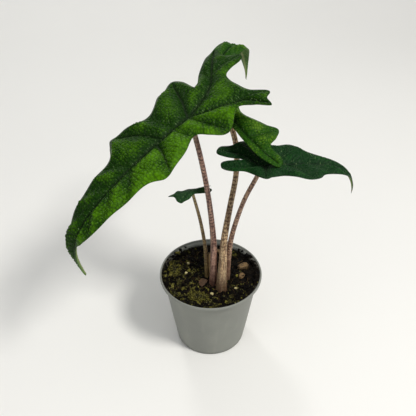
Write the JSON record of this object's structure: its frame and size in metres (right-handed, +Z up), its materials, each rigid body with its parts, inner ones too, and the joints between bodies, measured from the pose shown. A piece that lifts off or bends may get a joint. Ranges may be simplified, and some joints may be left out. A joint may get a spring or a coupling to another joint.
{
  "type": "potted alocasia plant",
  "caption": "Young potted foliage plant: lobed arrow-shaped leaves on slender mottled stalks rise from dark soil in a small round tapered nursery pot.",
  "frame": {"origin": "centre of the pot's flat bottom", "axes": "+Z up along the pot's axis, -Y towards the front of the plant, +X to its right as seen from the front"},
  "size_m": [0.1396, 0.1163, 0.1722],
  "materials": {
    "pot": "matt moulded plastic, pale grey-green",
    "soil": "damp dark peat, rough",
    "old_stem": "rough brown stem tissue",
    "stalk_reddish": "smooth living stalk, reddish with dark bands",
    "stalk_tan": "smooth living stalk, tan with brown bands",
    "stalk_olive": "smooth living stalk, olive brown",
    "leaf": "quilted living leaf with a soft sheen, mid green",
    "leaf_dark": "quilted living leaf with a soft sheen, dark green",
    "dry_tissue": "dry papery plant tissue",
    "moss": "dry yellow-green moss fibre",
    "perlite": "pale porous mineral grain",
    "bark": "rough brown bark"
  },
  "bodies": {
    "root": {"pot": "pot", "soil": "soil", "crown": "old_stem", "petiole_front": "stalk_reddish", "petiole_back": "stalk_tan", "petiole_right": "stalk_tan", "petiole_small": "stalk_olive", "leaf_front": "leaf", "leaf_back": "leaf", "leaf_right": "leaf_dark", "leaf_small": "leaf_dark", "dry_stub": "dry_tissue", "dry_scale": "dry_tissue", "moss_left": "moss", "moss_front": "moss", "moss_back": "moss", "perlite_front": "perlite", "perlite_left": "perlite", "perlite_side": "perlite", "perlite_right": "perlite", "bark_right": "bark", "bark_back": "bark", "bark_side": "bark"}
  },
  "joints": []
}
